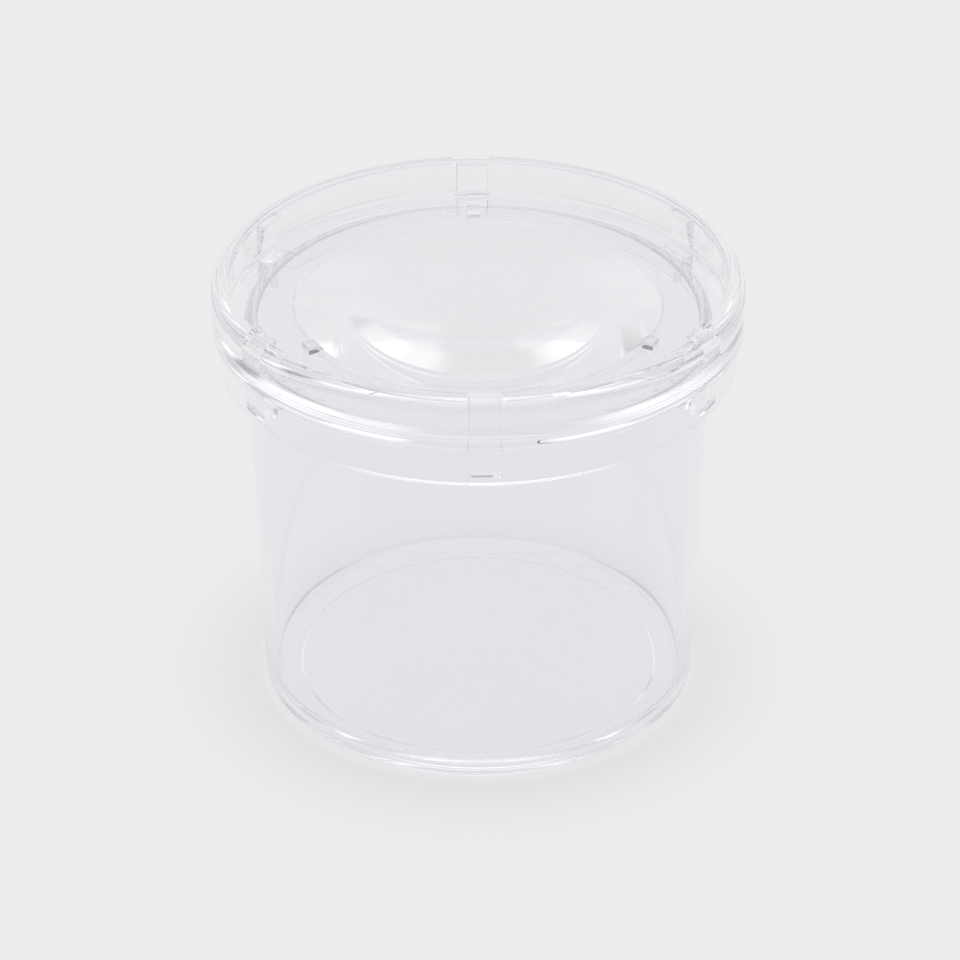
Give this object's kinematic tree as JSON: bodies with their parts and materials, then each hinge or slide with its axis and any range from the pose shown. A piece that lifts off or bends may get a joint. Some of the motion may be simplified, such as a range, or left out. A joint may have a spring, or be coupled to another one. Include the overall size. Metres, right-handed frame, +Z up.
{
  "type": "bug viewer",
  "caption": "Small clear round pot with a lift-off lid ring that holds a convex magnifying lens over the pot, for looking at insects.",
  "frame": {"origin": "centre of the pot's foot ring, on the surface that it stands on", "axes": "+Z up along the axis of the pot and lid, -Y towards the front of the picture, +X to the viewer's right"},
  "size_m": [0.07, 0.07, 0.0606],
  "materials": {
    "clear_pot_plastic": "clear moulded polystyrene, polished",
    "clear_lid_plastic": "clear moulded polystyrene, polished",
    "lens_plastic": "optically clear, polished"
  },
  "bodies": {
    "pot": {"pot": "clear_pot_plastic"},
    "lid": {"lid": "clear_lid_plastic", "magnifier_lens": "lens_plastic"}
  },
  "joints": [
    {"name": "lid_lift", "type": "slide", "parent": "pot", "child": "lid", "axis": [0, 0, 1], "range_m": [0, 0.06]}
  ]
}
